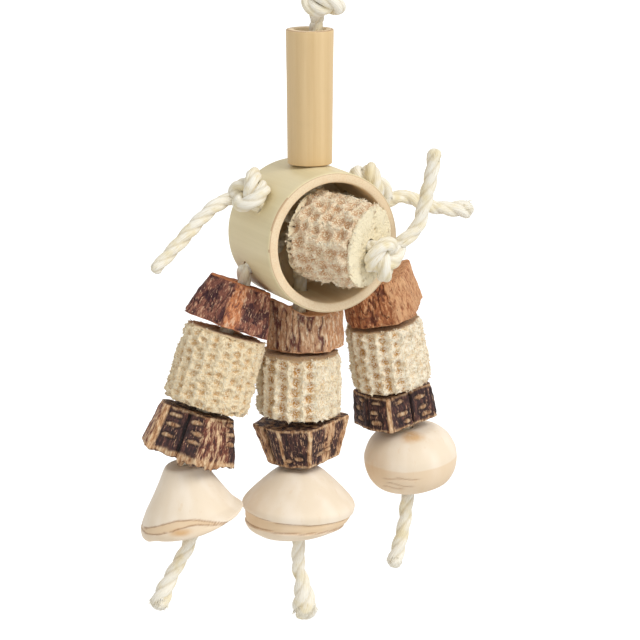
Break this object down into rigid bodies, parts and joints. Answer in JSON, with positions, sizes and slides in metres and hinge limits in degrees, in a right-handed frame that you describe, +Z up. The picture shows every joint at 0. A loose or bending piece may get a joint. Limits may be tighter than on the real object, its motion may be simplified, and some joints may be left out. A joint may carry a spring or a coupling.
{
  "type": "hanging bird toy",
  "caption": "Hanging cage toy for birds: a bamboo tube above a bamboo ring that holds a corn cob, with rope strands of bark slices, cobs, pod slices and turned wooden tops below.",
  "frame": {"origin": "where the toy hangs: under the crown of the rope loop", "axes": "+Z up along the hanging line, +X to the right and -Y towards the open front of the ring"},
  "size_m": [0.1501, 0.0751, 0.3167],
  "materials": {
    "rope": "twisted undyed rope, matt",
    "bamboo_tan": "scraped bamboo cane, satin",
    "bamboo_pale": "smooth bamboo skin, satin",
    "corn_cob": "dried corn cob, rough",
    "bark": "fibrous bark, rough",
    "pod": "dry seed pod, rough",
    "pale_wood": "turned soft wood, matt"
  },
  "bodies": {
    "hanger": {"hanging_loop": "rope", "hanging_knot": "rope"},
    "hanging_rope": {"hanging_rope": "rope"},
    "tube": {"bamboo_tube": "bamboo_tan"},
    "ring": {"bamboo_ring": "bamboo_pale", "top_stopper_knot": "rope", "hanging_rope_end": "rope", "left_knot": "rope", "left_tail": "rope", "right_knot": "rope", "right_tail": "rope", "left_cross_rope": "rope", "right_cross_rope": "rope", "cob_rope": "rope", "cob_knot": "rope", "cob_tail": "rope"},
    "ring_cob": {"ring_cob": "corn_cob"},
    "left_strand": {"left_strand_rope": "rope", "left_stopper_knot": "rope", "left_rope_end": "rope"},
    "left_bark_slice": {"left_bark_slice": "bark"},
    "left_cob": {"left_cob": "corn_cob"},
    "left_pod_slice": {"left_pod_slice": "pod"},
    "left_wood_top": {"left_wood_top": "pale_wood"},
    "middle_strand": {"middle_strand_rope": "rope", "middle_stopper_knot": "rope", "middle_rope_end": "rope"},
    "middle_bark_slice": {"middle_bark_slice": "bark"},
    "middle_cob": {"middle_cob": "corn_cob"},
    "middle_pod_slice": {"middle_pod_slice": "pod"},
    "middle_wood_top": {"middle_wood_top": "pale_wood"},
    "right_strand": {"right_strand_rope": "rope", "right_stopper_knot": "rope", "right_rope_end": "rope"},
    "right_bark_slice": {"right_bark_slice": "bark"},
    "right_cob": {"right_cob": "corn_cob"},
    "right_pod_slice": {"right_pod_slice": "pod"},
    "right_wood_top": {"right_wood_top": "pale_wood"}
  },
  "joints": [
    {"name": "toy_swing", "type": "hinge", "parent": "hanger", "child": "hanging_rope", "pos_m": [0.0011, 0, -0.0515], "axis": [1, 0, 0], "range_deg": [-25, 25]},
    {"name": "tube_spin", "type": "hinge", "parent": "hanging_rope", "child": "tube", "pos_m": [-0.002, 0, -0.1096], "axis": [0, 0, 1], "continuous": true},
    {"name": "ring_swivel", "type": "hinge", "parent": "hanging_rope", "child": "ring", "pos_m": [-0.002, 0, -0.14], "axis": [0, 0, 1], "continuous": true},
    {"name": "ring_cob_spin", "type": "hinge", "parent": "ring", "child": "ring_cob", "pos_m": [-0.0082, -0.0112, -0.137], "axis": [0.5504, -0.8284, -0.1045], "continuous": true},
    {"name": "left_swing", "type": "hinge", "parent": "ring", "child": "left_strand", "pos_m": [-0.03082, 0.005, -0.15437], "axis": [0, 1, 0], "range_deg": [0, 40]},
    {"name": "left_bark_slice_spin", "type": "hinge", "parent": "left_strand", "child": "left_bark_slice", "pos_m": [-0.03102, 0.005, -0.16026], "axis": [0.3746, 0, 0.9272], "continuous": true},
    {"name": "left_cob_spin", "type": "hinge", "parent": "left_strand", "child": "left_cob", "pos_m": [-0.03919, 0.005, -0.18048], "axis": [0.3173, 0, 0.9483], "continuous": true},
    {"name": "left_pod_slice_spin", "type": "hinge", "parent": "left_strand", "child": "left_pod_slice", "pos_m": [-0.05033, 0.005, -0.21376], "axis": [0.309, 0, 0.9511], "continuous": true},
    {"name": "left_wood_top_spin", "type": "hinge", "parent": "left_strand", "child": "left_wood_top", "pos_m": [-0.05826, 0.005, -0.23602], "axis": [-0.1392, 0, 0.9903], "continuous": true},
    {"name": "middle_swing", "type": "hinge", "parent": "ring", "child": "middle_strand", "pos_m": [-0.00469, 0.005, -0.17209], "axis": [1, 0, 0], "range_deg": [-12, 12]},
    {"name": "middle_bark_slice_spin", "type": "hinge", "parent": "middle_strand", "child": "middle_bark_slice", "pos_m": [-0.00469, 0.005, -0.17469], "axis": [0, 0, 1], "range_deg": [-40, 40]},
    {"name": "middle_cob_spin", "type": "hinge", "parent": "middle_strand", "child": "middle_cob", "pos_m": [-0.00469, 0.005, -0.19279], "axis": [0.0175, 0, 0.9998], "continuous": true},
    {"name": "middle_pod_slice_spin", "type": "hinge", "parent": "middle_strand", "child": "middle_pod_slice", "pos_m": [-0.00523, 0.005, -0.22338], "axis": [-0.0872, 0, 0.9962], "continuous": true},
    {"name": "middle_wood_top_spin", "type": "hinge", "parent": "middle_strand", "child": "middle_wood_top", "pos_m": [-0.00455, 0.005, -0.2449], "axis": [0.0349, 0, 0.9994], "continuous": true},
    {"name": "right_swing", "type": "hinge", "parent": "ring", "child": "right_strand", "pos_m": [0.02616, 0.005, -0.15561], "axis": [0, -1, 0], "range_deg": [0, 40]},
    {"name": "right_bark_slice_spin", "type": "hinge", "parent": "right_strand", "child": "right_bark_slice", "pos_m": [0.0318, 0.005, -0.1621], "axis": [-0.2419, 0, 0.9703], "continuous": true},
    {"name": "right_cob_spin", "type": "hinge", "parent": "right_strand", "child": "right_cob", "pos_m": [0.03563, 0.005, -0.18345], "axis": [-0.1822, 0, 0.9833], "continuous": true},
    {"name": "right_pod_slice_spin", "type": "hinge", "parent": "right_strand", "child": "right_pod_slice", "pos_m": [0.04209, 0.005, -0.21403], "axis": [-0.1392, 0, 0.9903], "continuous": true},
    {"name": "right_wood_top_spin", "type": "hinge", "parent": "right_strand", "child": "right_wood_top", "pos_m": [0.04729, 0.005, -0.23324], "axis": [-0.1045, 0, 0.9945], "continuous": true}
  ]
}
